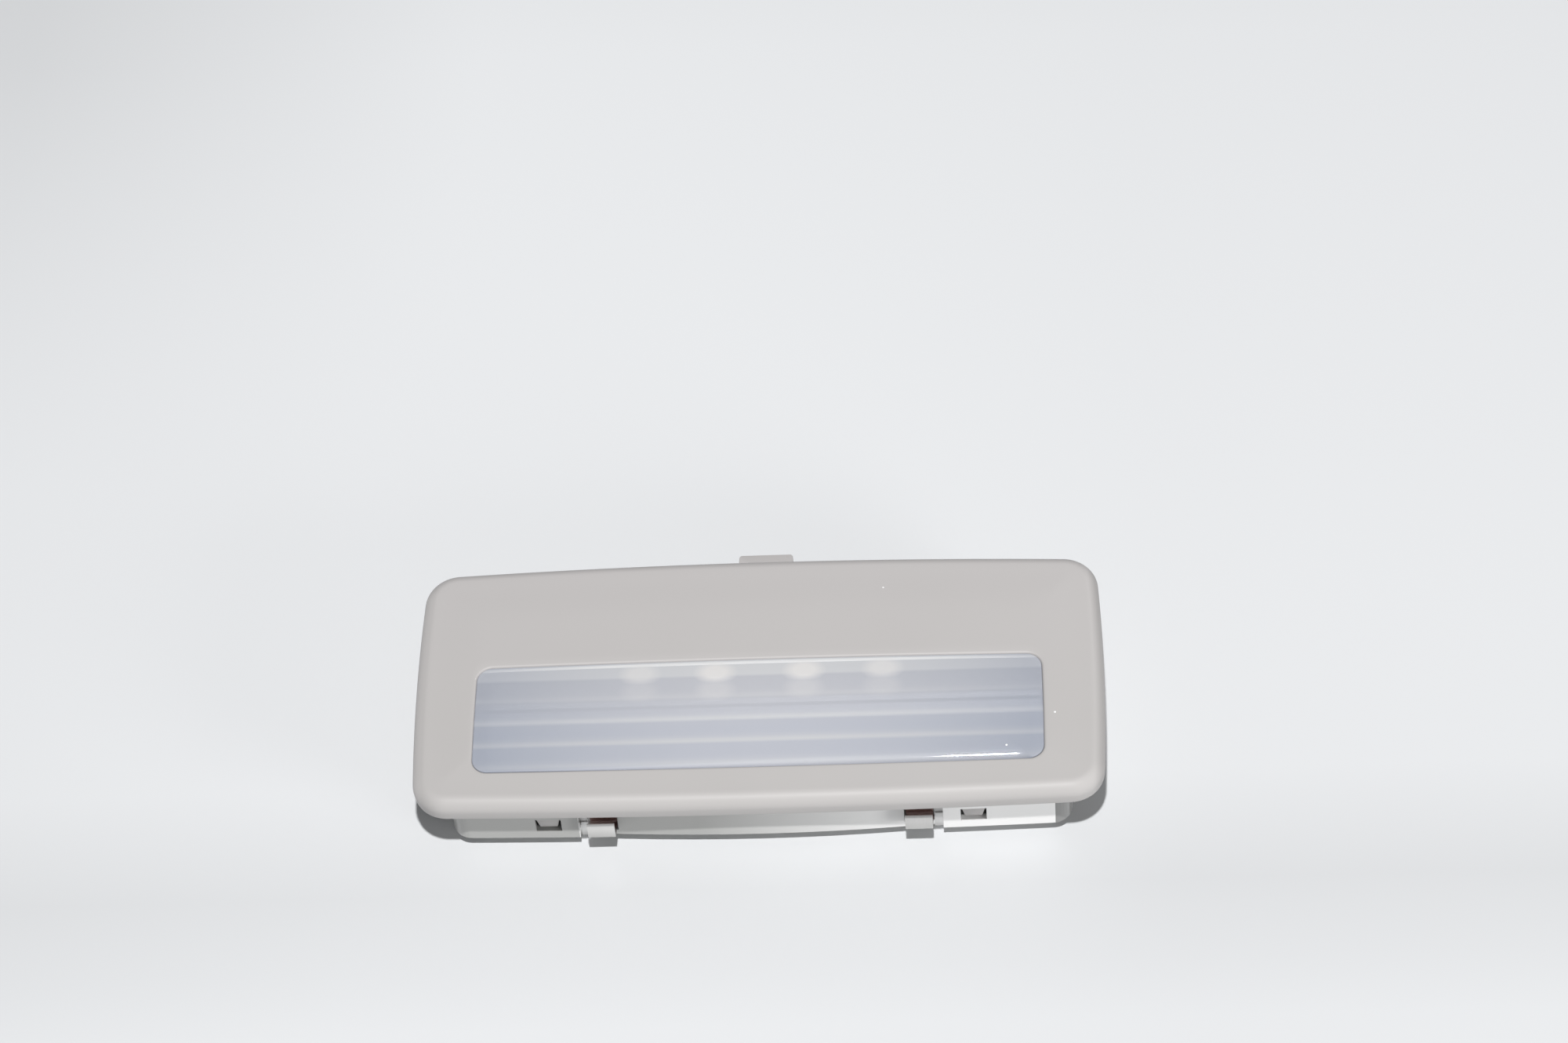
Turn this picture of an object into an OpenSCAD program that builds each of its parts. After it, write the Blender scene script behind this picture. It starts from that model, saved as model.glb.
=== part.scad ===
// Interior light of a car, lying face up: a trim frame with a fluted window,
// a white housing that hooks in at the back and snaps in with two spring clips.
// Millimetres, Z up. The origin is under the middle of the trim frame, on the
// plane that the housing stands on. The clips face -Y, the hook faces +Y.

/* [Overall] */
// Width of the trim frame
bezel_w = 100; // [90:1:130]
// Depth of the trim frame, without its hook
bezel_d = 43.6; // [42:0.2:60]
// Height from the base of the housing to the crest of the frame
body_h = 14.7; // [14.4:0.1:20]

/* [Trim frame] */
// How far each short side bows out at its middle
side_bow = 0.75; // [0.05:0.05:1.5]
// How far the front edge bows out
front_bow = 0.8; // [0.05:0.05:1.5]
// How far the back edge bows out
back_bow = 1.3; // [0.05:0.05:1.8]
// Corner radius of the outline
corner_r = 5.2; // [4:0.1:8]
// Radius of the rounded upper edge
edge_r = 2; // [1:0.1:2.5]
// Rise of the crowned face above that edge
crown = 0.2; // [0.05:0.05:0.4]
// Height of the rim that hides the edge of the panel
rim_h = 3.5; // [3:0.1:4]
// Thickness of the rim
rim_t = 1.6; // [1.2:0.1:2]
// Thickness of the face
skin_t = 1.8; // [1.6:0.1:2.2]
// Draft of the rim over its height
rim_draft = 0.1; // [0:0.05:0.3]

/* [Window] */
// Frame left of and right of the window
side_border = 8.95; // [8:0.05:14]
// Frame in front of the window
front_border = 6.1; // [5.8:0.05:9]
// Frame behind the window, over the circuit board
back_border = 18.65; // [17.5:0.05:24]
// Corner radius of the window
window_r = 2.3; // [1.5:0.1:3]
// Bow of the front edge of the window
window_front_bow = 0.2; // [0.05:0.05:0.5]
// Bow of the back edge of the window
window_back_bow = 0.35; // [0.05:0.05:0.6]
// Bow of the short edges of the window
window_side_bow = 0.08; // [0.02:0.02:0.2]
// Radius of the lip round the window
lip_r = 0.4; // [0.2:0.1:0.6]

/* [Lens] */
// Gap between the lens and the window all round
lens_gap = 0.2; // [0.1:0.05:0.4]
// Thickness of the lens between its flutes
lens_t = 2.2; // [1.8:0.1:2.4]
// Radius of the upper edge of the lens
lens_edge_r = 0.6; // [0.3:0.1:0.9]
// Width of the flange that holds the lens under the frame
flange_w = 1.3; // [1:0.1:1.6]
// Thickness of that flange
flange_t = 0.9; // [0.7:0.1:1.1]
// Distance from one flute to the next
flute_pitch = 3.9; // [3:0.1:5]
// Depth of a flute
flute_h = 0.25; // [0.15:0.05:0.4]

/* [Housing] */
// Housing wall behind the short sides of the frame
side_inset = 4.8; // [4:0.1:6]
// Housing wall behind the front edge of the frame
front_inset = 2.5; // [2.3:0.1:3]
// Housing wall in front of the back edge of the frame
back_inset = 3.7; // [3.4:0.1:4.2]
// Thickness of the walls
wall_t = 1; // [0.8:0.1:1.2]
// How far the wall hangs below the rim of the frame
wall_drop = 8.4; // [7.5:0.1:8.6]
// Corner radius of the housing
housing_r = 2.8; // [2:0.1:4]
// Thickness of the floor
floor_t = 1.2; // [0.8:0.1:1.6]
// Thickness of the web between the outer wall and the pan
web_t = 1; // [0.8:0.1:1.2]
// How far the pan is set back from the outer wall at the front
front_step = 2.15; // [2.1:0.05:2.4]
// How far the pan is set back at the sides and the back
pan_step = 2.1; // [1.8:0.1:2.6]

/* [Front wall] */
// Half length of the bowed middle part
mid_half = 25; // [24.8:0.1:28]
// Radius of that bow
mid_r = 340; // [300:10:600]
// Thickness of the middle part
mid_t = 0.8; // [0.7:0.1:0.9]
// Width of the slot at each end of the middle part
slot_w = 1.2; // [0.8:0.1:1.6]
// Distance of each snap window from the middle, at the front
snap_x = 30.6; // [29.5:0.1:36]
// Distance of each snap window from the middle, at the back
back_snap_x = 16; // [12:0.5:18]
// Width of a snap window
snap_win_w = 3.7; // [3:0.1:4]
// Height of a snap window
snap_win_h = 2.8; // [2.4:0.1:3]
// Lower edge of a snap window above the lower edge of the wall
snap_win_low = 1.7; // [1.4:0.1:2]

/* [Snap tongues and hook] */
// Thickness of a snap tongue
tongue_t = 0.6; // [0.5:0.05:0.7]
// Gap between a tongue and what it slides in
tongue_gap = 0.25; // [0.15:0.05:0.3]
// How far the tooth of a tongue stays behind the outer face of the wall
tooth_back = 0.1; // [0.05:0.05:0.4]
// Centre of the hook, right of the middle
hook_x = 0.5; // [-2:0.1:2]
// Width of the hook
hook_w = 8; // [6:0.5:10]
// How far the hook reaches past the back edge of the frame
hook_reach = 4.2; // [3:0.1:6]
// Thickness of the hook
hook_t = 1.5; // [1.2:0.1:2]
// Gap between the rim and the hook, for the panel
panel_t = 1.5; // [1:0.1:2]

/* [Spring clips] */
// Distance of each clip from the middle
clip_x = 22.8; // [21:0.1:22.8]
// Width of a clip
clip_w = 4; // [3.4:0.1:4.2]
// Thickness of the spring steel
clip_t = 0.3; // [0.25:0.05:0.35]
// How far the bulge stands out of the wall
clip_reach = 2.5; // [1.5:0.1:2.8]
// Gap round the clip in its window
clip_gap = 0.15; // [0.1:0.05:0.3]

/* [Reflector] */
// Thickness of the reflector
reflector_t = 0.9; // [0.7:0.1:1]
// Lowest point of the bowl above the base
bowl_low = 2.4; // [2.3:0.1:3]
// Distance of the lowest point behind the front edge of the bowl
bowl_run = 11.2; // [9:0.1:12]
// Width of a light opening
cup_w = 4; // [3.8:0.1:4.4]
// Height of a light opening
cup_h = 3.2; // [3:0.1:3.4]
// Height of the sill under a light opening
cup_sill = 1; // [0.6:0.1:1.4]
// How far a light opening widens towards the bowl
cup_flare = 0.5; // [0.2:0.1:0.6]

/* [Circuit board] */
// Thickness of the board
board_t = 1.2; // [0.8:0.1:1.6]
// Upper face of the board below the lower edge of the rim
board_drop = 4.2; // [4:0.1:4.4]
// Distance of the inner pair of lamps from the middle
led_inner_x = 6.4; // [5:0.1:8]
// Distance of the outer pair of lamps from the middle
led_outer_x = 17.6; // [13:0.1:20]
// Width of a lamp
led_w = 3.6; // [3:0.1:3.6]
// Height of a lamp
led_h = 2.8; // [2.4:0.1:2.8]
// Depth of a lamp
led_d = 1.8; // [1.4:0.1:2]

/* [Connector] */
// Distance of the socket from the right end of the housing
socket_end = 14.7; // [14.2:0.1:18]
// Width of the socket body
socket_w = 13; // [12:0.1:13.4]
// Height of the socket body
socket_h = 7.2; // [7:0.1:7.2]
// Wall of the socket
socket_t = 1; // [0.8:0.1:1.1]
// Distance between the two pins
pin_pitch = 3; // [2.5:0.1:4]
// Side of a square pin
pin_s = 0.64; // [0.5:0.02:0.8]

/* [Hidden] */

// Straight pieces that stand for the long shallow bows of the outlines
arc_step = 10;
// Straight pieces that stand for the tighter bow of the middle wall
mid_step = 4;
// Thickness of the slices that are skinned over
slice = 0.01;
// Clearance of parts that slide into each other
fit = 0.1;
// Clearance of the parts round the circuit board
play = 0.2;
// How far joined forms run into each other
tie = 0.2;
// How far a cutting form reaches past what it cuts
over = 1;
// Width over which the face rises to its crown
crown_run = 8;
// Draft of the upright edge of the lens
lens_draft = 0.01;
// How far tongues and hook reach up into the face of the frame
root = 0.5;
// Tooth of a tongue: height over the sill, slope and taper towards its lower end
tooth_sill = 0.35;
tooth_slope = 0.25;
tooth_taper = 0.4;
// Corner radius of the hook and its taper on each side
hook_r = 0.45;
hook_taper = 0.25;
// Leg of the hook behind the back wall of the housing
hook_leg = 0.5;
// Radius of the bends of a clip along its middle line
clip_bend = 0.45;
// Rise of a clip on its way out through the wall
leaf_foot = 0.25;
// Widest point of the leaf of a clip over the lower edge of its window
leaf_rise = 2.3;
// Upper part of the leaf: how far each bend rises and falls back
leaf_top = 3.8;
leaf_end = 4.45;
leaf_back = 0.15;
leaf_curl = 0.75;
// Top of a clip window below the rim
clip_win_drop = 1.4;
// Plain strip of the lens in front of the first flute and behind the last one
flute_front = 1.2;
flute_back = 0.4;
// Straight pieces of one flute
flute_cuts = 8;
// How far the bowl stands inside the window, at the ends and at the front
bowl_end = 0.45;
bowl_inset = 0.9;
// How far the bowl runs on behind the window
bowl_behind = 1.2;
// Corner radius of the bowl
bowl_corner = 1.6;
// Flange of the reflector: past the bowl at the back, past the lens at the ends
seat_back = 1.4;
seat_end = 0.5;
// Ribs that carry the reflector: distance from the window and from its corners
rib_gap = 0.85;
rib_in = 4;
// Length of the side walls of the pan that rise to the reflector
pan_side = 3.5;

// Heights
z_edge = body_h - crown;
z_rim = z_edge - rim_h;
z_skin = z_edge - skin_t;
z_wall = z_rim - wall_drop;
z_web = z_wall + web_t;
z_flange = z_skin - flange_t;
z_seat = z_flange - reflector_t;
board_z = z_rim - board_drop;
z_board = board_z - board_t;

// Edges of the trim frame
y_front = -bezel_d / 2;
y_back = bezel_d / 2;
function bow_radius(half, bow) = (half * half + bow * bow) / (2 * bow);
side_r = bow_radius(bezel_d / 2, side_bow);
front_r = bow_radius(bezel_w / 2, front_bow);
back_r = bow_radius(bezel_w / 2, back_bow);

// Window
window_w = bezel_w - 2 * side_border;
window_d = bezel_d - front_border - back_border;
window_y = (front_border - back_border) / 2;
window_front = y_front + front_border;
window_back = y_back - back_border;

// Housing and its pan
housing_w = bezel_w - 2 * side_inset;
housing_d = bezel_d - front_inset - back_inset;
housing_y = (front_inset - back_inset) / 2;
pan_w = housing_w - 2 * pan_step;
pan_d = housing_d - front_step - pan_step;
pan_y = housing_y + (front_step - pan_step) / 2;
wall_front = y_front + front_inset;
wall_back = y_back - back_inset;
pan_front = wall_front + front_step;

// How far a bowed edge has fallen back at a distance x from its middle
function fall(x, r) = r - sqrt(r * r - x * x);

// Windows of the spring clips
clip_win_low = z_web + fit;
clip_win_top = z_rim - clip_win_drop;

// Reflector
bowl_half = window_w / 2 - bowl_end;
bowl_front = max(window_front + bowl_inset,
                 pan_front + wall_t + fall(bowl_half, front_r) + reflector_t + fit / 2);
bowl_back = window_back + bowl_behind;
bowl_y = bowl_front + bowl_run;
cup_low = board_z - (cup_h - led_h) / 2;
front_bowl_r = bow_radius(bowl_run, z_flange - bowl_low);
back_bowl_r = bow_radius(bowl_back - bowl_y, cup_low - cup_sill - bowl_low);

// Circuit board
board_gap = 0.3;
board_front = bowl_back + reflector_t + board_gap;
board_back = wall_back - wall_t - 1.5;
board_half = housing_w / 2 - wall_t - 3.7;
post_x = 26.5;
post_w = 3;
rest_y = board_front + 0.4;
rest_end = 2;
stake_r = 0.9;
stake_head_r = 1.7;
stake_top_r = 1.2;
stake_head_h = 0.7;
boss_r = 2;
stake_y = board_back - 2.6;
stake_left = -board_half + 6.5;
stake_right = 17;

// Lamps
led_rim = 0.45;
led_foot = 0.4;
led_recess = 0.25;

// Connector
socket_x = housing_w / 2 - socket_end;
socket_mouth = wall_back + 1.3;
frame_drop = 1;
collar_t = 0.9;
collar_w = 0.8;
frame_side = 2;
frame_back = socket_mouth - collar_t - fit;
frame_front = wall_back - wall_t
              - fall(socket_x + socket_w / 2 + frame_side, back_r - back_inset);
socket_floor = 1.5;
socket_deep = 10.2;
socket_back = socket_mouth - socket_deep;
pin_out = 4.1;
pin_tail = 2;

// Rows of small parts on the board
resistor_left = -21;
resistor_pitch = 10;
resistor_y = (board_front + board_back) / 2 + 0.6;
back_row_y = board_back - 1.8;

trim_colour = [0.76, 0.75, 0.74];
white_colour = [0.93, 0.93, 0.92];
black = [0.12, 0.12, 0.13];

// Disc whose rim is smooth enough for a long shallow arc
module arc_disc(r) {
    circle(r = r, $fn = 4 * ceil(PI * r / arc_step / 2));
}

// Four-sided outline with bowed sides and round corners, made smaller by inset
module bowed(w, d, side, front, back, r, inset = 0) {
    offset(r = r - inset, $fn = 32)
        offset(delta = -r)
            intersection() {
                translate([side - w / 2, 0])
                    arc_disc(side);
                translate([w / 2 - side, 0])
                    arc_disc(side);
                translate([0, front - d / 2])
                    arc_disc(front);
                translate([0, d / 2 - back])
                    arc_disc(back);
            }
}

module bezel_outline(inset) {
    bowed(bezel_w, bezel_d, side_r, front_r, back_r, corner_r, inset);
}

module window_outline(inset) {
    translate([0, window_y])
        bowed(window_w, window_d,
              bow_radius(window_d / 2, window_side_bow),
              bow_radius(window_w / 2, window_front_bow),
              bow_radius(window_w / 2, window_back_bow),
              window_r, inset);
}

module housing_outline(inset) {
    translate([0, housing_y])
        bowed(housing_w, housing_d, side_r - side_inset,
              front_r - front_inset, back_r - back_inset, housing_r, inset);
}

module pan_outline(inset) {
    translate([0, pan_y])
        bowed(pan_w, pan_d, side_r - side_inset - pan_step,
              front_r - front_inset - front_step,
              back_r - back_inset - pan_step, housing_r, inset);
}

// Block between two corners
module block(low, high) {
    translate(low)
        cube(high - low);
}

// Snap tongue on the plane y = 0, its tooth towards -Y, hanging from z_skin
module tongue() {
    sill = z_wall + snap_win_low;
    top = z_skin + root;
    tooth_top = sill + snap_win_h - fit;
    tooth_out = wall_t + tongue_gap - tooth_back;
    tooth_low = sill + tooth_sill;
    end = sill - tooth_sill;
    top_half = snap_win_w / 2 - fit;
    low_half = top_half - tooth_taper;
    intersection() {
        rotate([90, 0, 90])
            linear_extrude(2 * top_half, center = true)
                polygon([[0, top], [0, tooth_top], [-tooth_out, tooth_top],
                         [tooth_slope - tooth_out, tooth_low], [0, sill + fit],
                         [tongue_t, end], [tongue_t, top]]);
        rotate([90, 0, 0])
            linear_extrude(2 * wall_t + 2 * tooth_out, center = true)
                polygon([[-top_half, top], [-top_half, tooth_top],
                         [-low_half, tooth_low], [-low_half, end],
                         [low_half, end], [low_half, tooth_low],
                         [top_half, tooth_top], [top_half, top]]);
    }
}

// Trim frame: one moulding with window, rim, four snap tongues and the hook
module bezel() {
    front_tongue = wall_front + fall(snap_x, front_r) + wall_t + tongue_gap;
    back_tongue = wall_back - fall(back_snap_x, back_r) - wall_t - tongue_gap;
    color(trim_colour) {
        difference() {
            bezel_skin();
            translate([0, 0, z_rim - over])
                linear_extrude(z_skin - z_rim + over)
                    bezel_outline(rim_t);
            window_cut();
        }
        for (side = [-1, 1]) {
            translate([side * snap_x, front_tongue, 0])
                tongue();
            translate([side * back_snap_x, back_tongue, 0])
                rotate([0, 0, 180])
                    tongue();
        }
        hook();
    }
}

// Solid form of the frame: rim, rounded edge and crowned face
module bezel_skin() {
    hull() {
        bezel_slice(z_rim + slice, rim_draft);
        for (a = [0:18:90])
            bezel_slice(z_edge - edge_r * (1 - sin(a)), edge_r * (1 - cos(a)));
        for (u = [0.5, 1])
            bezel_slice(z_edge + crown * u * (2 - u), edge_r + u * crown_run);
    }
}

module bezel_slice(z, inset) {
    translate([0, 0, z - slice])
        linear_extrude(slice)
            bezel_outline(inset);
}

// Opening for the lens, widened by a small lip at the face
module window_cut() {
    translate([0, 0, z_rim - over])
        linear_extrude(body_h)
            window_outline(0);
    hull()
        for (end = [0, 1])
            translate([0, 0, body_h - lip_r + end * 2 * lip_r])
                linear_extrude(slice)
                    window_outline(2 * slice - end * 2 * lip_r);
}

// Hook at the back: a leg under the frame and a flat tongue that reaches out
module hook() {
    leg_y = wall_back + hook_leg;
    top = z_rim - panel_t;
    end = y_back + hook_reach;
    block([hook_x - hook_w / 2, leg_y, top - hook_t],
          [hook_x + hook_w / 2, y_back - rim_t + tie, z_skin + root]);
    translate([hook_x, 0, top - hook_t])
        linear_extrude(hook_t)
            offset(r = hook_r, $fn = 32)
                offset(delta = -hook_r)
                    polygon([[-hook_w / 2, leg_y], [hook_taper - hook_w / 2, end],
                             [hook_w / 2 - hook_taper, end], [hook_w / 2, leg_y]]);
    block([hook_x - hook_w / 2, leg_y, top - hook_t],
          [hook_x + hook_w / 2, leg_y + wall_t, top]);
}

// Lens: clear plate in the window, flange under the frame, flutes inside
module lens() {
    top = z_edge + crown / 2;
    color([0.78, 0.84, 0.92, 0.6])
        difference() {
            union() {
                hull() {
                    lens_slice(z_skin - flange_t / 2, 0);
                    for (a = [0:30:90])
                        lens_slice(top - lens_edge_r * (1 - sin(a)),
                                   lens_edge_r * (1 - cos(a)) + lens_draft);
                }
                translate([0, 0, z_flange])
                    linear_extrude(flange_t)
                        window_outline(-flange_w);
            }
            rotate([90, 0, 90])
                linear_extrude(2 * bowl_half, center = true)
                    polygon(flute_profile(top - lens_t));
        }
}

// Space under the lens in the YZ plane: its upper side is a row of flutes
function flute_profile(valley) =
    let (front = bowl_front, back = window_back - flute_back,
         start = window_front + flute_front, cuts = flute_cuts)
    concat([[back, z_flange - over], [front, z_flange - over]],
           [for (k = [0:cuts * ceil(window_d / flute_pitch)])
               let (y = start + k * flute_pitch / cuts, u = 2 * (k % cuts) / cuts - 1)
                   if (y > front && y < back) [y, valley - flute_h * (1 - u * u)]],
           [[back, valley]]);

module lens_slice(z, inset) {
    translate([0, 0, z - slice])
        linear_extrude(slice)
            window_outline(lens_gap + inset);
}

// Housing: stepped white moulding with a channel behind its front wall
module housing() {
    color(white_colour)
        difference() {
            union() {
                outer_wall();
                middle_wall();
                pan();
                ledges();
                board_supports();
                socket_frame();
            }
            front_cuts();
            back_cuts();
        }
}

module outer_wall() {
    front_gap = mid_half + slot_w;
    difference() {
        union() {
            translate([0, 0, z_wall])
                linear_extrude(z_skin - z_wall)
                    difference() {
                        housing_outline(0);
                        housing_outline(wall_t);
                    }
            translate([0, 0, z_wall])
                linear_extrude(web_t)
                    difference() {
                        housing_outline(wall_t / 2);
                        pan_outline(wall_t / 2);
                    }
        }
        block([-front_gap, y_front, z_wall - over],
              [front_gap, pan_front + slice, z_skin + over]);
    }
}

// Middle part of the front wall on its own tighter bow, with its web
module middle_wall() {
    fn = 4 * ceil(PI * mid_r / mid_step / 2);
    intersection() {
        block([-mid_half, y_front, z_wall], [mid_half, pan_front + wall_t / 2, z_skin]);
        translate([0, wall_front + mid_r, 0])
            difference() {
                translate([0, 0, z_wall])
                    cylinder(r = mid_r, h = z_skin, $fn = fn);
                translate([0, 0, z_web])
                    cylinder(r = mid_r - mid_t, h = z_skin, $fn = fn);
            }
    }
}

// Deeper pan that the light stands on; its front wall rises to the reflector
module pan() {
    difference() {
        linear_extrude(z_web)
            pan_outline(0);
        translate([0, 0, floor_t])
            linear_extrude(z_web)
                pan_outline(wall_t);
    }
    intersection() {
        translate([0, 0, z_wall])
            linear_extrude(z_seat - z_wall)
                difference() {
                    pan_outline(0);
                    pan_outline(wall_t);
                }
        block([-bezel_w, y_front, 0], [bezel_w, pan_front + pan_side, z_seat]);
    }
}

// Ribs at both ends and posts at the back that carry the reflector
module ledges() {
    rib_x = window_w / 2 + rib_gap;
    for (side = [-1, 1]) {
        for (y = [window_front + rib_in, window_back - rib_in])
            mirrored(side)
                block([rib_x, y - wall_t / 2, z_wall],
                      [housing_w / 2 - wall_t / 2, y + wall_t / 2, z_seat]);
        mirrored(side)
            block([post_x - post_w / 2, rest_y, floor_t / 2],
                  [post_x + post_w / 2, rest_y + wall_t, z_seat]);
    }
}

module mirrored(side) {
    if (side < 0)
        mirror([1, 0, 0])
            children();
    else
        children();
}

// Low wall under the front of the circuit board and two bosses with stakes
module board_supports() {
    block([rest_end - board_half, rest_y, floor_t / 2],
          [board_half - rest_end, rest_y + wall_t, z_board]);
    for (x = [stake_left, stake_right])
        translate([x, stake_y, 0]) {
            translate([0, 0, floor_t / 2])
                cylinder(r = boss_r, h = z_board - floor_t / 2, $fn = 48);
            translate([0, 0, z_board - tie])
                cylinder(r = stake_r, h = board_t + 2 * tie, $fn = 48);
            translate([0, 0, board_z])
                cylinder(r1 = stake_head_r, r2 = stake_top_r, h = stake_head_h, $fn = 48);
        }
}

// Flat frame in the back wall that the socket slides into from above
module socket_frame() {
    half = socket_w / 2 + frame_side;
    block([socket_x - half, frame_front, z_wall], [socket_x + half, frame_back, z_skin - frame_drop]);
}

module front_cuts() {
    snap_low = z_wall + snap_win_low;
    for (side = [-1, 1]) {
        x = side * snap_x;
        y = wall_front + fall(snap_x, front_r);
        block([x - snap_win_w / 2, y - over, snap_low],
              [x + snap_win_w / 2, y + wall_t + tie, snap_low + snap_win_h]);
        clip_cut(side);
    }
}

module clip_cut(side) {
    x = side * clip_x;
    y = wall_front + fall(clip_x, mid_r);
    half = clip_w / 2 + clip_gap;
    block([x - half, y - over, clip_win_low], [x + half, y + mid_t + tie, clip_win_top]);
}

module back_cuts() {
    snap_low = z_wall + snap_win_low;
    for (side = [-1, 1]) {
        x = side * back_snap_x;
        y = wall_back - fall(back_snap_x, back_r);
        block([x - snap_win_w / 2, y - wall_t - tie, snap_low],
              [x + snap_win_w / 2, y + over, snap_low + snap_win_h]);
    }
    half = socket_w / 2 + fit;
    block([socket_x - half, frame_front - over, z_web],
          [socket_x + half, frame_back + over, z_skin + over]);
}

// Reflector: flange under the lens, curved bowl, back wall with four openings
module reflector() {
    flange_front = window_front - flange_w;
    flange_back = bowl_back + reflector_t + seat_back;
    flange_half = window_w / 2 + flange_w + seat_end;
    color([0.9, 0.91, 0.92])
        difference() {
            union() {
                block([-flange_half, flange_front, z_seat], [flange_half, flange_back, z_flange]);
                bowl_form(z_flange, reflector_t);
            }
            bowl_form(z_flange + over, 0);
            for (x = [-led_outer_x, -led_inner_x, led_inner_x, led_outer_x])
                light_opening(x);
        }
}

// Opening in the back wall of the bowl, flared towards the bowl
module light_opening(x) {
    reach = 0.1;
    block([x - cup_w / 2, bowl_back - reach, cup_low],
          [x + cup_w / 2, bowl_back + 2 * reflector_t, cup_low + cup_h]);
    flare = cup_flare * (1 + reach / reflector_t);
    hull() {
        block([x - cup_w / 2, bowl_back + reflector_t - slice, cup_low],
              [x + cup_w / 2, bowl_back + reflector_t, cup_low + cup_h]);
        block([x - cup_w / 2 - flare, bowl_back - reach, cup_low - flare],
              [x + cup_w / 2 + flare, bowl_back - reach + slice, cup_low + cup_h]);
    }
}

// Form of the bowl up to the height top, made larger by grow
module bowl_form(top, grow) {
    intersection() {
        linear_extrude(top)
            bowl_outline(grow);
        union() {
            intersection() {
                block([-bezel_w, y_front, 0], [bezel_w, bowl_y, 3 * body_h]);
                bowl_round(front_bowl_r, grow);
            }
            intersection() {
                block([-bezel_w, bowl_y, 0], [bezel_w, y_back, 3 * body_h]);
                bowl_round(back_bowl_r, grow);
            }
        }
    }
}

// Rectangle with round corners that the bowl fills in plan
module bowl_outline(grow) {
    offset(r = bowl_corner + grow, $fn = 32)
        translate([bowl_corner - bowl_half, bowl_front + bowl_corner])
            square([2 * (bowl_half - bowl_corner), bowl_back - bowl_front - 2 * bowl_corner]);
}

// Round of the bowl over its lowest line, a cylinder that lies along X
module bowl_round(r, grow) {
    translate([0, bowl_y, bowl_low + r])
        rotate([0, 90, 0])
            cylinder(r = r + grow, h = bezel_w, center = true, $fn = 120);
}

module circuit_board() {
    color([0.1, 0.36, 0.2])
        difference() {
            block([-board_half, board_front, z_board], [board_half, board_back, board_z]);
            for (side = [-1, 1])
                mirrored(side)
                    block([post_x - post_w / 2 - play, board_front - over, 0],
                          [post_x + post_w / 2 + play, rest_y + wall_t + play, z_seat]);
            block([socket_x - socket_w / 2 - collar_w - play, socket_back - play, 0],
                  [socket_x + socket_w / 2 + collar_w + play, y_back, z_seat]);
            for (x = [stake_left, stake_right])
                translate([x, stake_y, z_board - over])
                    cylinder(r = stake_r + fit, h = board_t + 2 * over, $fn = 48);
        }
}

// Side-looking lamp on the front edge of the board, its face towards -Y
module led(x) {
    face_w = led_w - 2 * led_rim;
    face_h = led_h - 2 * led_foot;
    color([0.95, 0.94, 0.88])
        difference() {
            block([x - led_w / 2, board_front, board_z],
                  [x + led_w / 2, board_front + led_d, board_z + led_h]);
            block([x - face_w / 2, board_front - over, board_z + led_foot],
                  [x + face_w / 2, board_front + led_recess, board_z + led_foot + face_h]);
        }
}

module led_1() { led(-led_outer_x); }
module led_2() { led(-led_inner_x); }
module led_3() { led(led_inner_x); }
module led_4() { led(led_outer_x); }

function unit(v) = v / norm(v);

// Points of a path whose inner corners are rounded to the radius r
function rounded(pts, r, steps) = concat(
    [pts[0]],
    [for (i = [1:len(pts) - 2])
        let (a = unit(pts[i - 1] - pts[i]), b = unit(pts[i + 1] - pts[i]),
             half = acos(a * b) / 2, way = r / tan(half),
             centre = pts[i] + unit(a + b) * r / sin(half),
             from = pts[i] + a * way - centre, to = pts[i] + b * way - centre)
            for (k = [0:steps])
                centre + r * unit(from * (steps - k) + to * k)],
    [pts[len(pts) - 1]]);

// Side of a strip at the distance off from its centre line
function strip_side(line, off) = [
    for (i = [0:len(line) - 1])
        let (a = line[max(i - 1, 0)], b = line[min(i + 1, len(line) - 1)], d = unit(b - a))
            line[i] + off * [-d[1], d[0]]
];

function backwards(list) = [for (i = [len(list) - 1:-1:0]) list[i]];

// Spring clip: a strip of steel behind the wall. It turns out through its window
// and rises as a bulged leaf with a free upper end
module spring_clip(side) {
    wall = wall_front + fall(clip_x, mid_r);
    inner_face = wall_front + fall(clip_x + clip_w / 2, mid_r) + mid_t;
    pan_face = pan_front + fall(clip_x - clip_w / 2, front_r);
    leg = (inner_face + pan_face) / 2;
    out = wall - clip_reach + clip_t / 2;
    low = z_web + 2 * fit + clip_t / 2;
    line = rounded([[leg, clip_win_top - fit], [leg, low], [wall - tie, low + leaf_foot],
                    [out, clip_win_low + leaf_rise], [out + leaf_back, clip_win_low + leaf_top],
                    [out + leaf_curl, clip_win_low + leaf_end]], clip_bend, 4);
    color([0.82, 0.82, 0.8])
        translate([side * clip_x - clip_w / 2, 0, 0])
            rotate([90, 0, 90])
                linear_extrude(clip_w)
                    polygon(concat(strip_side(line, clip_t / 2),
                                   backwards(strip_side(line, -clip_t / 2))));
}

module spring_clip_left() { spring_clip(-1); }
module spring_clip_right() { spring_clip(1); }

// Socket for a two-pin plug, open to the back, in a groove of the back wall
module connector_socket() {
    half = socket_w / 2;
    top = z_web + socket_h;
    color([0.86, 0.86, 0.84])
        difference() {
            union() {
                block([socket_x - half, socket_back, z_web], [socket_x + half, socket_mouth, top]);
                for (y = [frame_front - fit - collar_t, frame_back + fit])
                    block([socket_x - half - collar_w, y, z_web],
                          [socket_x + half + collar_w, y + collar_t, top]);
            }
            block([socket_x - half + socket_t, socket_back + socket_floor, z_web + socket_t],
                  [socket_x + half - socket_t, socket_mouth + over, top - socket_t]);
            for (side = [-0.5, 0.5])
                pin_block(side, socket_back - over, socket_back + socket_floor + over);
        }
}

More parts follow.
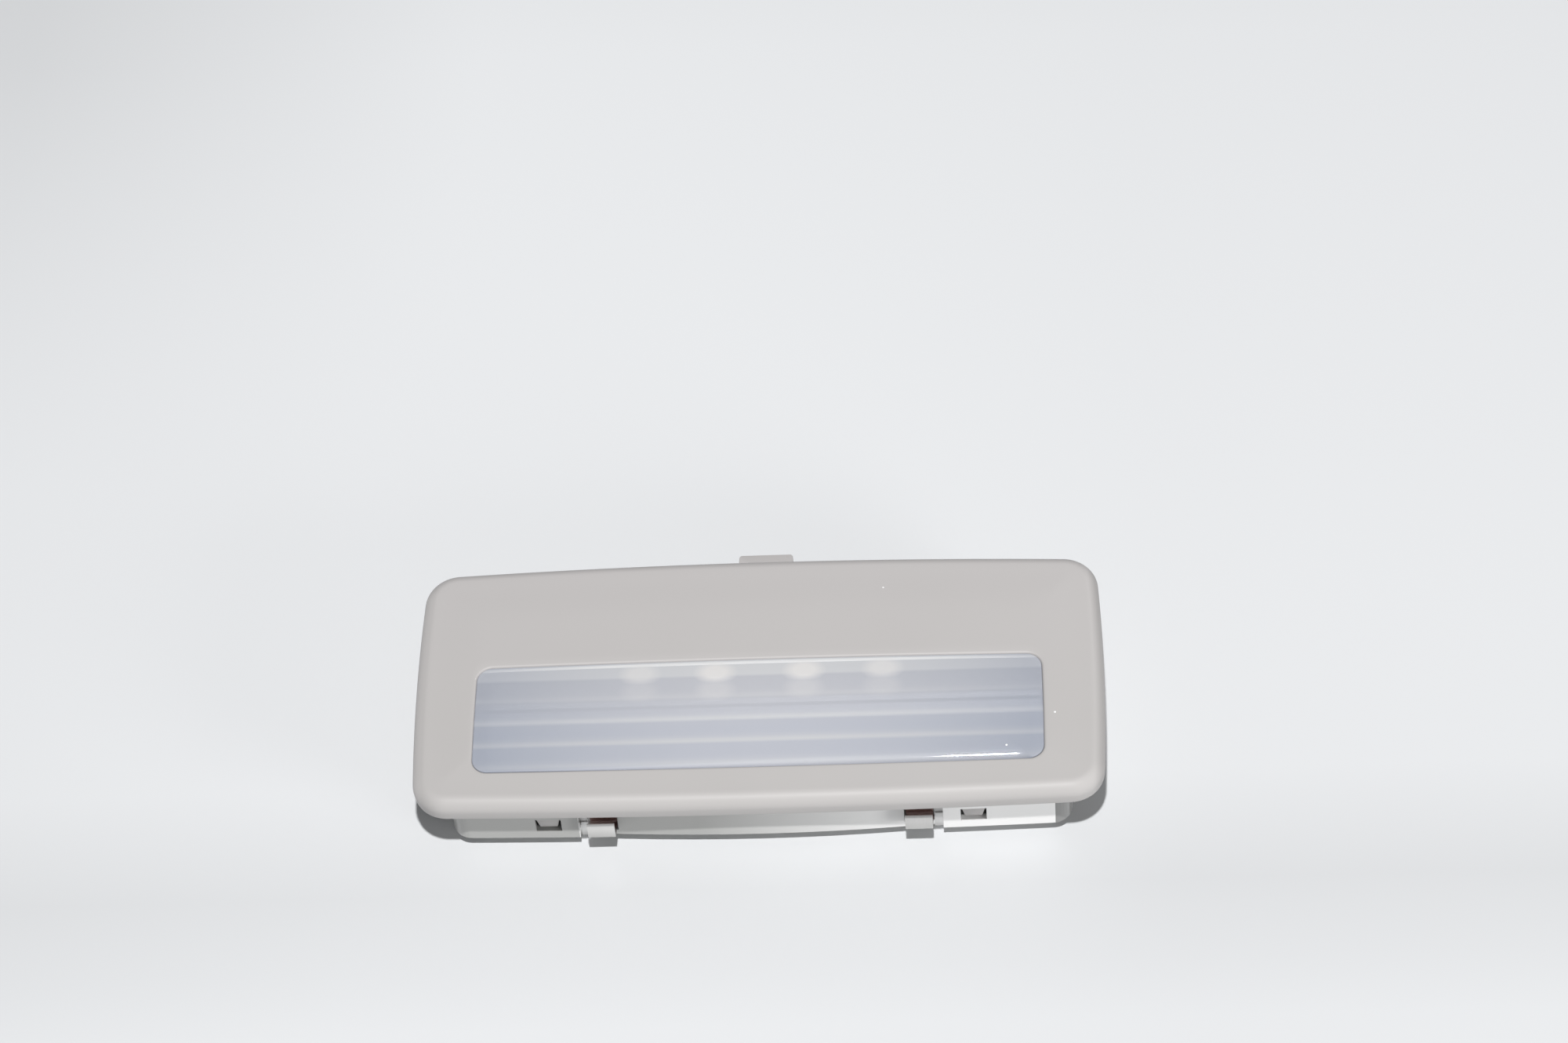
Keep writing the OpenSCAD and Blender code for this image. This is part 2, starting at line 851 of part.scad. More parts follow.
// Square bar in the place of one pin, from y0 to y1
module pin_block(side, y0, y1) {
    x = socket_x + side * pin_pitch;
    block([x - pin_s / 2, y0, board_z], [x + pin_s / 2, y1, board_z + pin_s]);
}

// Contact pin: its tail lies on the board, its tip stands in the socket
module contact_pin(side) {
    color([0.85, 0.8, 0.65])
        pin_block(side, socket_back - pin_tail, socket_back + socket_floor + pin_out);
}

module contact_pin_1() { contact_pin(-0.5); }
module contact_pin_2() { contact_pin(0.5); }

// Small block part with a metal cap at each end, lying along X on the board
module chip(x, y, length, width, height, cap, body_colour) {
    proud = 0.05;
    color(body_colour)
        block([x - length / 2 + cap, y - width / 2 + proud, board_z + proud],
              [x + length / 2 - cap, y + width / 2 - proud, board_z + height - proud]);
    for (side = [-1, 1])
        color([0.8, 0.8, 0.8])
            translate([x + side * (length - cap) / 2, y, board_z])
                translate([-cap / 2, -width / 2, 0])
                    cube([cap, width, height]);
}

module resistor(place) {
    chip(resistor_left + place * resistor_pitch, resistor_y, 3.2, 1.6, 0.6, 0.5, black);
}

module resistor_1() { resistor(0); }
module resistor_2() { resistor(1); }
module resistor_3() { resistor(2); }
module resistor_4() { resistor(3); }

module capacitor() {
    chip(resistor_left + 2 * resistor_pitch, back_row_y, 3.2, 2.5, 1.6, 0.5, [0.66, 0.55, 0.42]);
}

module suppressor() {
    chip(resistor_left + resistor_pitch, back_row_y, 4.5, 3.2, 1.5, 0.6, [0.3, 0.3, 0.32]);
}

// Moulded diode with a flat lead at each end
module diode() {
    x = resistor_left + 3 * resistor_pitch - 1;
    body_w = 2.6;
    lead_half = 2.6;
    lead_w = 1.4;
    lead_t = 0.25;
    foot_half = 2.1;
    waist_half = 2.25;
    top_half = 2;
    color(black)
        rotate([90, 0, 0])
            translate([x, board_z, -back_row_y - body_w / 2])
                linear_extrude(body_w)
                    polygon([[-foot_half, 0.1], [-waist_half, 1.1], [-top_half, 2.1],
                             [top_half, 2.1], [waist_half, 1.1], [foot_half, 0.1]]);
    color([0.8, 0.8, 0.8])
        block([x - lead_half, back_row_y - lead_w / 2, board_z],
              [x + lead_half, back_row_y + lead_w / 2, board_z + lead_t]);
}

bezel();
lens();
housing();
reflector();
circuit_board();
led_1();
led_2();
led_3();
led_4();
spring_clip_left();
spring_clip_right();
connector_socket();
contact_pin_1();
contact_pin_2();
resistor_1();
resistor_2();
resistor_3();
resistor_4();
diode();
capacitor();
suppressor();
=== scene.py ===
import math

import bmesh
import bpy
import numpy as np
from mathutils import Matrix, Vector


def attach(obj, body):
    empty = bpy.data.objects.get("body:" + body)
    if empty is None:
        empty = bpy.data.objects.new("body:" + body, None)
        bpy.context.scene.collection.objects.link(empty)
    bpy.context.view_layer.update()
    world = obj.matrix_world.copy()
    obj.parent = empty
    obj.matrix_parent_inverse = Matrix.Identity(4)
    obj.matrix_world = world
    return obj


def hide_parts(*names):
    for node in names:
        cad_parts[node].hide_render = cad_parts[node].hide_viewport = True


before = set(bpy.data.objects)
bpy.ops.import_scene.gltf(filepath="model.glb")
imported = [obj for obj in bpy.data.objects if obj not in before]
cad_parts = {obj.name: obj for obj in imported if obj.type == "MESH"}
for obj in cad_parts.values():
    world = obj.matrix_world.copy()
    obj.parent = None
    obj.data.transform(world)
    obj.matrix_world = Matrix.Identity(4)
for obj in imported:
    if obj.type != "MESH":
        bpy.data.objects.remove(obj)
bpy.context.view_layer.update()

# Camera: a long lens looks down at the light from the front, a little from its
# right, as the photograph was taken. The picture is 2000 x 1330 pixels. MM is one
# millimetre in the metres of the scene.
MM = 0.001
FOCAL_MM, SENSOR_MM = 102.63, 36.0
SHIFT_UP = 0.00045
NEAREST = 0.01
camera_place = Vector((39.893, -378.98, 537.729)) * MM
camera_right = Vector((0.99803, 0.00973, -0.06192))
camera_up = Vector((0.03031, 0.78986, 0.61254))
camera_back = Vector((0.05487, -0.61321, 0.78801))
camera_data = bpy.data.cameras.new("camera")
camera_data.lens = FOCAL_MM
camera_data.sensor_width = SENSOR_MM
camera_data.sensor_fit = "HORIZONTAL"
camera_data.shift_y = SHIFT_UP
camera_data.clip_start = NEAREST
camera = bpy.data.objects.new("camera", camera_data)
turn = Matrix((camera_right, camera_up, camera_back)).transposed().to_4x4()
camera.matrix_world = Matrix.Translation(camera_place) @ turn
bpy.context.scene.collection.objects.link(camera)
bpy.context.scene.camera = camera
bpy.context.scene.view_settings.view_transform = "Standard"


# Table: a smooth white board, faintly glossy, on which the light lies: one flat
# sheet, far larger than the view. Its tone holds painted light and shade: it is
# deeper towards the front, the right and the far left corner, and a band of painted
# shade runs along the front of the light.
def new_material(name):
    """Material with an empty node tree, and its output node."""
    material = bpy.data.materials.new(name)
    material.use_nodes = True
    tree = material.node_tree
    tree.nodes.clear()
    out = tree.nodes.new("ShaderNodeOutputMaterial")
    return material, tree, out


def add(tree, kind, **settings):
    """Shader node; each setting is the value of an input or of a property."""
    node = tree.nodes.new("ShaderNode" + kind)
    for key, value in settings.items():
        if key in node.inputs:
            node.inputs[key].default_value = value
        else:
            setattr(node, key, value)
    return node


def feed(tree, node, sources):
    """Link each source to the input that it is named for."""
    for name, source in sources.items():
        tree.links.new(source, node.inputs[name])


def object_place(tree):
    """Place on the object in metres: the whole vector, then x, y and z."""
    coords = add(tree, "TexCoord").outputs["Object"]
    parts = add(tree, "SeparateXYZ")
    tree.links.new(coords, parts.inputs[0])
    return (coords, *parts.outputs)


def blend_colours(tree, factor, first, second, within=True):
    """Colour mix; each colour is a socket or a plain value."""
    mix = add(tree, "Mix", data_type="RGBA", clamp_factor=within)
    tree.links.new(factor, mix.inputs[0])
    for slot, colour in ((6, first), (7, second)):
        if isinstance(colour, tuple):
            mix.inputs[slot].default_value = (*colour, 1)
        else:
            tree.links.new(colour, mix.inputs[slot])
    return mix.outputs[2]


def span(tree, value, low, high, start=0.0, end=1.0):
    """Value mapped from low..high to start..end, and held there beyond both."""
    node = add(tree, "MapRange")
    for key, number in (("From Min", low), ("From Max", high), ("To Min", start), ("To Max", end)):
        node.inputs[key].default_value = number
    tree.links.new(value, node.inputs["Value"])
    return node.outputs[0]


def maths(tree, operation, first, *others):
    """Result of a maths node, or of a row of them, on sockets and numbers."""
    for other in others or (None,):
        node = add(tree, "Math", operation=operation)
        for slot, value in enumerate((first, other)):
            if isinstance(value, (int, float)):
                node.inputs[slot].default_value = value
            elif value is not None:
                tree.links.new(value, node.inputs[slot])
        first = node.outputs[0]
    return first


def join_object(name, vertices, faces, material):
    """Object at the origin, with its place in its mesh."""
    mesh = bpy.data.meshes.new(name)
    mesh.from_pydata([tuple(v) for v in vertices], [], faces)
    mesh.materials.append(material)
    mesh.update()
    obj = bpy.data.objects.new(name, mesh)
    bpy.context.scene.collection.objects.link(obj)
    return obj


TABLE_HALF, TABLE_ROUGH, TABLE_SHINE = 4.0, 0.22, 0.12
TABLE_NEAR, TABLE_FAR = (0.735, 0.745, 0.758), (0.913, 0.926, 0.942)
NEAR_Y, FAR_Y = -0.04, 0.14
SIDE_X, LEFT_PALER, RIGHT_DEEPER = 0.06, 0.16, -0.12
DIP_FRONT, DIP_MIDDLE, DIP_BACK, DIP_DEEPER = -0.05, -0.027, -0.008, -0.36
CORNER_X, CORNER_Y, CORNER_SHARE = (-0.05, -0.125), (0.05, 0.14), 0.6
table_material, tree, out = new_material("table_board")
coords, x, y, z = object_place(tree)
# Painted light and shade: paler to the back and the left, deeper to the right and in the far left corner,
# and a band of painted shade in front of the light.
across = span(tree, x, -SIDE_X, SIDE_X, LEFT_PALER, RIGHT_DEEPER)
dip_in = span(tree, y, DIP_FRONT, DIP_MIDDLE, 0.0, DIP_DEEPER)
dip_out = span(tree, y, DIP_MIDDLE, DIP_BACK, DIP_DEEPER, 0.0)
painted_shade_band = maths(tree, "MAXIMUM", dip_in, dip_out)
depth = maths(tree, "ADD", span(tree, y, NEAR_Y, FAR_Y), across, painted_shade_band)
far_left = maths(tree, "MULTIPLY", span(tree, x, *CORNER_X, 0.0, CORNER_SHARE), span(tree, y, *CORNER_Y))
tone = blend_colours(tree, depth, TABLE_NEAR, TABLE_FAR, within=False)
tone = blend_colours(tree, far_left, tone, TABLE_NEAR)
table_paint = add(tree, "BsdfPrincipled")
table_paint.inputs["Roughness"].default_value = TABLE_ROUGH
table_paint.inputs["Specular IOR Level"].default_value = TABLE_SHINE
feed(tree, table_paint, {"Base Color": tone})
tree.links.new(table_paint.outputs[0], out.inputs[0])
h = TABLE_HALF
table = join_object("table", [(-h, -h, 0), (h, -h, 0), (h, h, 0), (-h, h, 0)], [(0, 1, 2, 3)],
                    table_material)


# Light: a small lamp high above the front throws the short dark shadow, a pale
# room fills it in, and a soft panel at the right brightens the front wall. The
# panel lights the surfaces, but nothing reflects it.
def lamp(name, place, aim, size, power, shape="DISK"):
    """Flat lamp at a place, turned towards the point that it is aimed at."""
    data = bpy.data.lights.new(name, "AREA")
    data.shape = shape
    data.size = size
    data.energy = power
    obj = bpy.data.objects.new(name, data)
    place, aim = Vector(place), Vector(aim)
    obj.location = place
    obj.rotation_euler = (aim - place).to_track_quat("-Z", "Y").to_euler()
    bpy.context.scene.collection.objects.link(obj)
    return obj


KEY_X, KEY_Y, KEY_DISTANCE, KEY_ELEVATION = 0.0343, -0.01, 0.8, math.radians(70)
KEY_AIM, KEY_SIZE, KEY_POWER = (0.01, 0, 0), 0.026, 5.9
PANEL_PLACE, PANEL_AIM, PANEL_SIZE, PANEL_POWER = (0.45, -0.30, 0.12), (0.02, 0, 0.005), 0.2, 1.0
ROOM_COLOUR, ROOM_LEVEL = (0.97, 0.985, 1.0), 0.15
key_place = (KEY_X, KEY_Y - KEY_DISTANCE * math.cos(KEY_ELEVATION),
             KEY_DISTANCE * math.sin(KEY_ELEVATION))
lamp("key_lamp", key_place, KEY_AIM, KEY_SIZE, KEY_POWER)
side_panel = lamp("side_panel", PANEL_PLACE, PANEL_AIM, PANEL_SIZE, PANEL_POWER, "SQUARE")
side_panel.visible_glossy = False

world = bpy.data.worlds.new("room")
world.use_nodes = True
background = world.node_tree.nodes["Background"]
background.inputs["Color"].default_value = (*ROOM_COLOUR, 1)
background.inputs["Strength"].default_value = ROOM_LEVEL
bpy.context.scene.world = world


# Trim frame: the visible cover, one moulding of satin light grey plastic with a
# fine even grain. Its rim covers the edge of the cut-out, four snap tongues lock
# into the housing and a flat hook at the back goes behind the panel.
BEZEL_W, BEZEL_D, BODY_H = 100.0, 43.6, 14.7
SIDE_BOW, FRONT_BOW, BACK_BOW, CORNER_R = 0.75, 0.8, 1.3, 5.2
CROWN, CROWN_RUN, EDGE_R = 0.2, 8.0, 2.0
RIM_H, RIM_T, SKIN_T = 3.5, 1.6, 1.8
RIM_DRAFT, UPPER_DRAFT, FOOT_R, FOOT_FLAT = 0.1, 0.03, 0.2, 0.35
SHARP_TURN, BEVEL_STEPS = 0.5, 2
Z_EDGE = BODY_H - CROWN
Z_RIM = Z_EDGE - RIM_H
Z_SKIN = Z_EDGE - SKIN_T


def bow_radius(half, bow):
    """Radius of an arc that rises by the bow over twice the half length."""
    return (half * half + bow * bow) / (2 * bow)


def outline(width, depth, bows, corner, centre_y=0.0, counts=(48, 18, 14)):
    """Points and outward normals of a bowed rectangle with round corners."""
    side, front, back = bows
    long_count, short_count, corner_count = counts
    half_w, half_d = width / 2, depth / 2
    r_side, r_front, r_back = (bow_radius(half_d, side), bow_radius(half_w, front),
                               bow_radius(half_w, back))
    arcs = [((0, r_front - half_d), r_front), ((half_w - r_side, 0), r_side),
            ((0, half_d - r_back), r_back), ((r_side - half_w, 0), r_side)]
    corners = []
    for k in range(4):
        (ax, ay), ar = arcs[k]
        (bx, by), br = arcs[(k + 1) % 4]
        sx, sy = ((1, -1), (1, 1), (-1, 1), (-1, -1))[k]
        x, y = sx * (half_w - corner), sy * (half_d - corner)
        # The corner's centre lies one corner radius inside both arcs that it joins.
        for _ in range(40):
            da, db = math.hypot(x - ax, y - ay), math.hypot(x - bx, y - by)
            ua, ub = ((x - ax) / da, (y - ay) / da), ((x - bx) / db, (y - by) / db)
            ea, eb = da - (ar - corner), db - (br - corner)
            det = ua[0] * ub[1] - ua[1] * ub[0]
            x -= (ea * ub[1] - eb * ua[1]) / det
            y -= (eb * ua[0] - ea * ub[0]) / det
        corners.append((x, y))
    points, normals = [], []
    for k in range(4):
        (ax, ay), ar = arcs[k]
        before, after = corners[k - 1], corners[k]
        a0 = math.atan2(before[1] - ay, before[0] - ax)
        a1 = math.atan2(after[1] - ay, after[0] - ax)
        if a1 < a0:
            a1 += 2 * math.pi
        count = long_count if k % 2 == 0 else short_count
        for i in range(count):
            a = a0 + (a1 - a0) * i / count
            normals.append((math.cos(a), math.sin(a)))
            points.append((ax + ar * math.cos(a), ay + ar * math.sin(a)))
        (bx, by), br = arcs[(k + 1) % 4]
        b1 = math.atan2(after[1] - by, after[0] - bx)
        while b1 < a1:
            b1 += 2 * math.pi
        for i in range(corner_count):
            a = a1 + (b1 - a1) * i / corner_count
            normals.append((math.cos(a), math.sin(a)))
            points.append((after[0] + corner * math.cos(a), after[1] + corner * math.sin(a)))
    points = np.array(points) + (0, centre_y)
    return points, np.array(normals)


def ring(shape, inset, z):
    """Outline moved inwards by the inset, at one height or at a height for each point."""
    points, normals = shape
    flat = points - inset * normals
    height = z(flat) if callable(z) else np.full(len(flat), z)
    return np.column_stack([flat, height])


def loft(rings, closed=True):
    """Quads between rings of equal length; the last ring joins the first if closed."""
    count = len(rings[0])
    faces = []
    total = len(rings)
    for r in range(total if closed else total - 1):
        a, b = r * count, ((r + 1) % total) * count
        for i in range(count):
            j = (i + 1) % count
            faces.append((a + i, a + j, b + j, b + i))
    return np.concatenate(rings), faces


def shade(obj, angle_deg):
    """Smooth faces, with an edge kept sharp where it turns more than the angle."""
    mesh = obj.data
    mesh.polygons.foreach_set("use_smooth", [True] * len(mesh.polygons))
    bm = bmesh.new()
    bm.from_mesh(mesh)
    limit = math.radians(angle_deg)
    for edge in bm.edges:
        edge.smooth = len(edge.link_faces) == 2 and edge.calc_face_angle(0) < limit
    bm.to_mesh(mesh)
    bm.free()


def lists_of(bm):
    """Vertices and faces of a closed shape, its faces turned outwards; frees it."""
    bmesh.ops.recalc_face_normals(bm, faces=bm.faces)
    bm.verts.index_update()
    vertices = [v.co.copy() for v in bm.verts]
    faces = [[v.index for v in f.verts] for f in bm.faces]
    bm.free()
    return vertices, faces


def prism(points, low, high, axis, bevel):
    """Closed prism over a flat polygon that lies across the x or the z axis."""
    bm = bmesh.new()

    def place(point, height):
        return (height, *point) if axis == "x" else (*point, height)

    a = [bm.verts.new(place(p, low)) for p in points]
    b = [bm.verts.new(place(p, high)) for p in points]
    bm.faces.new(a)
    bm.faces.new(b)
    for i in range(len(points)):
        j = (i + 1) % len(points)
        bm.faces.new((a[i], a[j], b[j], b[i]))
    bmesh.ops.recalc_face_normals(bm, faces=bm.faces)
    sharp = [e for e in bm.edges if e.calc_face_angle(0) > SHARP_TURN]
    bmesh.ops.bevel(bm, geom=sharp, offset=bevel, segments=BEVEL_STEPS, affect="EDGES",
                    profile=0.5, clamp_overlap=True)
    return lists_of(bm)


def piece(name, parts, material, angle):
    """One object from parts in millimetres."""
    vertices, faces = [], []
    for part_vertices, part_faces in parts:
        start = len(vertices)
        vertices.extend(Vector(v) * MM for v in part_vertices)
        faces.extend([start + i for i in face] for face in part_faces)
    obj = join_object(name, vertices, faces, material)
    shade(obj, angle)
    return obj


TRIM_PLAY = 0.004
bezel_shape = outline(BEZEL_W - TRIM_PLAY, BEZEL_D - TRIM_PLAY, (SIDE_BOW, FRONT_BOW, BACK_BOW), CORNER_R)


def crown_height(flat):
    """Height of the crowned face over points: it rises from the rounded edge inwards."""
    points, normals = bezel_shape
    reach = np.einsum("ij,ij->i", points, normals)[None, :] - flat @ normals.T
    u = np.clip((reach.min(axis=1) - EDGE_R) / CROWN_RUN, 0, 1)
    return Z_EDGE + CROWN * u * u * (3 - 2 * u)


WINDOW_W, WINDOW_D, WINDOW_Y = 82.1, 18.85, -6.275
WINDOW_BOWS, WINDOW_R, LIP_R = (0.08, 0.2, 0.35), 2.3, 0.35
window_shape = outline(WINDOW_W, WINDOW_D, WINDOW_BOWS, WINDOW_R, WINDOW_Y)

FILLET_LEAD, FILLET_STEPS, TOP_STEPS, LIP_STEPS = 0.4, 14, 14, 5
rings = [ring(bezel_shape, RIM_T, Z_RIM), ring(bezel_shape, FOOT_FLAT, Z_RIM)]
for degrees in (0, 30, 60, 90):
    a = math.radians(degrees)
    inset = RIM_DRAFT + FOOT_R * (1 - math.sin(a))
    rings.append(ring(bezel_shape, inset, Z_RIM + FOOT_R * (1 - math.cos(a))))
rings.append(ring(bezel_shape, UPPER_DRAFT, Z_EDGE - EDGE_R - FILLET_LEAD))
for k in range(FILLET_STEPS + 1):
    a = math.pi / 2 * k / FILLET_STEPS
    rings.append(ring(bezel_shape, EDGE_R * (1 - math.cos(a)), Z_EDGE - EDGE_R * (1 - math.sin(a))))
inner = ring(bezel_shape, EDGE_R, Z_EDGE)
lip = ring(window_shape, -LIP_R, 0)
for k in range(1, TOP_STEPS + 1):
    t = k / TOP_STEPS
    flat = inner[:, :2] * (1 - t) + lip[:, :2] * t
    rings.append(np.column_stack([flat, crown_height(flat)]))
for k in range(1, LIP_STEPS + 1):
    a = math.pi / 2 * k / LIP_STEPS
    flat = ring(window_shape, -LIP_R * (1 - math.sin(a)), 0)[:, :2]
    rings.append(np.column_stack([flat, crown_height(flat) - LIP_R * (1 - math.cos(a))]))
rings.append(ring(window_shape, 0, Z_SKIN))
rings.append(ring(bezel_shape, RIM_T, Z_SKIN))
frame_shell = loft(rings)

# The snap tongues stand inside the walls of the housing, their teeth in its windows.
WALL_DROP = 8.4
Z_WALL = Z_RIM - WALL_DROP
WALL_FRONT, WALL_BACK, WALL_T = -BEZEL_D / 2 + 2.5, BEZEL_D / 2 - 3.7, 1.0
SILL = Z_WALL + 1.7
SNAP_W, SNAP_TOP, SNAP_LOW, SNAP_BEVEL = 3.3, SILL + 2.7, SILL + 0.65, 0.06
SNAP_FRONT_X, SNAP_BACK_X = 30.6, 16.0
TOOTH_OUT, TOOTH_SLOPE, TOOTH_TAPER, TOOTH_FOOT = 1.15, 0.25, 0.8, SILL + 0.1
TONGUE_T, TONGUE_GAP, TONGUE_END, ROOT_DEPTH = 0.6, 0.25, SILL - 0.35, 0.3


def fall(x, radius):
    """How far an arc has fallen back at x from its middle."""
    return radius - math.sqrt(radius * radius - x * x)


def tongue(x, y, outwards):
    """Snap tongue under the frame, with a tooth that narrows downwards."""
    root = Z_SKIN + ROOT_DEPTH
    profile = [(y, root), (y, SNAP_TOP), (y + outwards * TOOTH_OUT, SNAP_TOP),
               (y + outwards * (TOOTH_OUT - TOOTH_SLOPE), SNAP_LOW), (y, TOOTH_FOOT),
               (y - outwards * TONGUE_T, TONGUE_END), (y - outwards * TONGUE_T, root)]
    vertices, faces = prism(profile, x - SNAP_W / 2, x + SNAP_W / 2, "x", SNAP_BEVEL)
    for v in vertices:
        drop = max(0.0, min(1.0, (SNAP_TOP - v.z) / (SNAP_TOP - SNAP_LOW)))
        v.x = x + (v.x - x) * (1 - drop * TOOTH_TAPER / SNAP_W)
    return vertices, faces


front_r, back_r = bow_radius(BEZEL_W / 2, FRONT_BOW), bow_radius(BEZEL_W / 2, BACK_BOW)
trim_parts = [frame_shell]
for side in (-1, 1):
    front_y = WALL_FRONT + fall(SNAP_FRONT_X, front_r) + WALL_T + TONGUE_GAP
    back_y = WALL_BACK - fall(SNAP_BACK_X, back_r) - WALL_T - TONGUE_GAP
    trim_parts.append(tongue(side * SNAP_FRONT_X, front_y, -1))
    trim_parts.append(tongue(side * SNAP_BACK_X, back_y, 1))

# The hook is a flat plate on a short leg that hangs from the frame.
HOOK_X, HOOK_W, HOOK_T, HOOK_END = 0.5, 8.5, 1.5, BEZEL_D / 2 + 4.2
HOOK_TOP, HOOK_TAPER, HOOK_CORNER, HOOK_BEVEL, LEG_LAP = Z_RIM - 1.5, 0.25, 0.45, 0.12, 0.2
leg_y, leg_end = WALL_BACK + 0.5, BEZEL_D / 2 - RIM_T + LEG_LAP
hook_left, hook_right = HOOK_X - HOOK_W / 2, HOOK_X + HOOK_W / 2
plate = []
for corner_x, start in ((hook_right - HOOK_TAPER - HOOK_CORNER, 0),
                        (hook_left + HOOK_TAPER + HOOK_CORNER, 90)):
    for k in range(7):
        a = math.radians(start + 15 * k)
        plate.append((corner_x + HOOK_CORNER * math.cos(a),
                      HOOK_END - HOOK_CORNER + HOOK_CORNER * math.sin(a)))
plate += [(hook_left, leg_y), (hook_right, leg_y)]
leg = [(hook_left, leg_y), (hook_right, leg_y), (hook_right, leg_end), (hook_left, leg_end)]
trim_parts.append(prism(plate, HOOK_TOP - HOOK_T, HOOK_TOP, "z", HOOK_BEVEL))
trim_parts.append(prism(leg, HOOK_TOP - HOOK_T, Z_SKIN + ROOT_DEPTH, "z", HOOK_BEVEL))


def noise(tree, coords, **settings):
    """Even noise over the object, from 0 to 1."""
    texture = add(tree, "TexNoise", **settings)
    tree.links.new(coords, texture.inputs["Vector"])
    return texture.outputs["Fac"]


def bumps(tree, height, strength, distance):
    """Bump node whose height in metres follows a socket."""
    node = add(tree, "Bump", Strength=strength, Distance=distance)
    tree.links.new(height, node.inputs["Height"])
    return node


def specks(tree, coords, places, radius):
    """Mask that is 1 within the radius of each place, in metres."""
    masks = []
    for place in places:
        away = add(tree, "VectorMath", operation="DISTANCE")
        away.inputs[1].default_value = place
        tree.links.new(coords, away.inputs[0])
        masks.append(maths(tree, "LESS_THAN", away.outputs["Value"], radius))
    return maths(tree, "MAXIMUM", *masks) if len(masks) > 1 else masks[0]


# Light and shade are painted on the plastic: painted light makes it paler towards
# the back and on the left side, and painted shade makes it deeper on the right side.
# SIDE_CURVE makes the two sides' painted tones follow their bow.
TRIM_DEEP, TRIM_PALE, TRIM_BACK_LIGHT = (0.493, 0.477, 0.468), (0.516, 0.499, 0.490), (0.540, 0.519, 0.514)
TRIM_RIGHT_SHADE, TRIM_LEFT_LIGHT = (0.400, 0.386, 0.379), (0.600, 0.580, 0.570)
BACK_START, BACK_FULL, BACK_SHARE = -0.010, 0.022, 0.85
SIDE_CURVE, SIDE_START, SIDE_FULL = 1.58, 0.0485, 0.0496
TRIM_ROUGH, TRIM_SHINE = (0.40, 0.50), 0.22
DUST_COLOUR, DUST_R = (0.95, 0.95, 0.95), 0.00016
TRIM_DUST = ((0.01816, 0.01544, 0.0147), (0.04267, -0.00778, 0.0146))
trim_material, tree, out = new_material("satin_trim_plastic")
coords, x, y, z = object_place(tree)
grain = noise(tree, coords, Scale=5200.0, Detail=3.0, Roughness=0.6)
colour = blend_colours(tree, noise(tree, coords, Scale=60.0, Detail=3.0), TRIM_DEEP, TRIM_PALE)
# Painted light towards the back and on the left side, painted shade on the right side.
back_light = span(tree, y, BACK_START, BACK_FULL, 0.0, BACK_SHARE)
colour = blend_colours(tree, back_light, colour, TRIM_BACK_LIGHT)
side_bow = maths(tree, "MULTIPLY", y, y, SIDE_CURVE)
side = span(tree, maths(tree, "ADD", maths(tree, "ABSOLUTE", x), side_bow), SIDE_START, SIDE_FULL)
right_shade = maths(tree, "MULTIPLY", side, maths(tree, "GREATER_THAN", x, 0.0))
left_light = maths(tree, "MULTIPLY", side, maths(tree, "LESS_THAN", x, 0.0))
colour = blend_colours(tree, right_shade, colour, TRIM_RIGHT_SHADE)
colour = blend_colours(tree, left_light, colour, TRIM_LEFT_LIGHT)
colour = blend_colours(tree, specks(tree, coords, TRIM_DUST, DUST_R), colour, DUST_COLOUR)
shader = add(tree, "BsdfPrincipled")
shader.inputs["Specular IOR Level"].default_value = TRIM_SHINE
feed(tree, shader, {"Base Color": colour, "Roughness": span(tree, grain, 0, 1, *TRIM_ROUGH),
                    "Normal": bumps(tree, grain, strength=0.25, distance=0.00003).outputs[0]})
tree.links.new(shader.outputs[0], out.inputs[0])

trim = piece("trim_frame", trim_parts, trim_material, angle=35.0)
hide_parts("bezel")
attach(trim, "root")


# Lens: one clear moulding with a slight blue cast. Its polished face stands level
# with the frame, a flange holds it from below, and long flutes run inside it. Its
# upper edge is rounder along the front, which gives the bright streak there.
LENS_GAP, LENS_TOP, LENS_EDGE, FRONT_EDGE = 0.02, Z_EDGE + CROWN / 2, 0.2, 1.4
SOFTER_X, SOFTER_SHARE = (-30, 10, 38, 39.2), (0, 0.82, 1, 0)
LENS_COUNTS, EDGE_STEPS, FACE_STEPS, HEART_X = (150, 18, 14), 10, (0.15, 0.5, 0.85), 31
FLANGE_W, FLANGE_T, GAP_DEPTH = 1.3, 0.9, 0.3
Z_FLANGE = Z_SKIN - FLANGE_T
VALLEY, FLUTE_H, FLUTE_PITCH, FLUTE_CUTS = LENS_TOP - 2.2, 0.25, 3.9, 13
FLUTE_START, APERTURE, APERTURE_CUTS, COLUMNS = WINDOW_Y - WINDOW_D / 2 + 1.2, 40.6, 57, 8

lens_shape = outline(WINDOW_W, WINDOW_D, WINDOW_BOWS, WINDOW_R, WINDOW_Y, LENS_COUNTS)
lens_points, lens_normals = lens_shape
softer = np.clip(-lens_normals[:, 1], 0, 1) ** 2
softer *= np.interp(lens_points[:, 0], SOFTER_X, SOFTER_SHARE)
edge_r = LENS_EDGE + FRONT_EDGE * softer
lens_rings = [ring(lens_shape, -FLANGE_W, Z_FLANGE), ring(lens_shape, -FLANGE_W, Z_SKIN),
              ring(lens_shape, LENS_GAP, Z_SKIN), ring(lens_shape, LENS_GAP, Z_SKIN + GAP_DEPTH)]
for k in range(EDGE_STEPS + 1):
    a = math.pi / 2 * k / EDGE_STEPS
    inset = LENS_GAP + edge_r * (1 - math.cos(a))
    lens_rings.append(ring(lens_shape, inset[:, None], LENS_TOP - edge_r * (1 - math.sin(a))))
face_ring = lens_rings[-1]
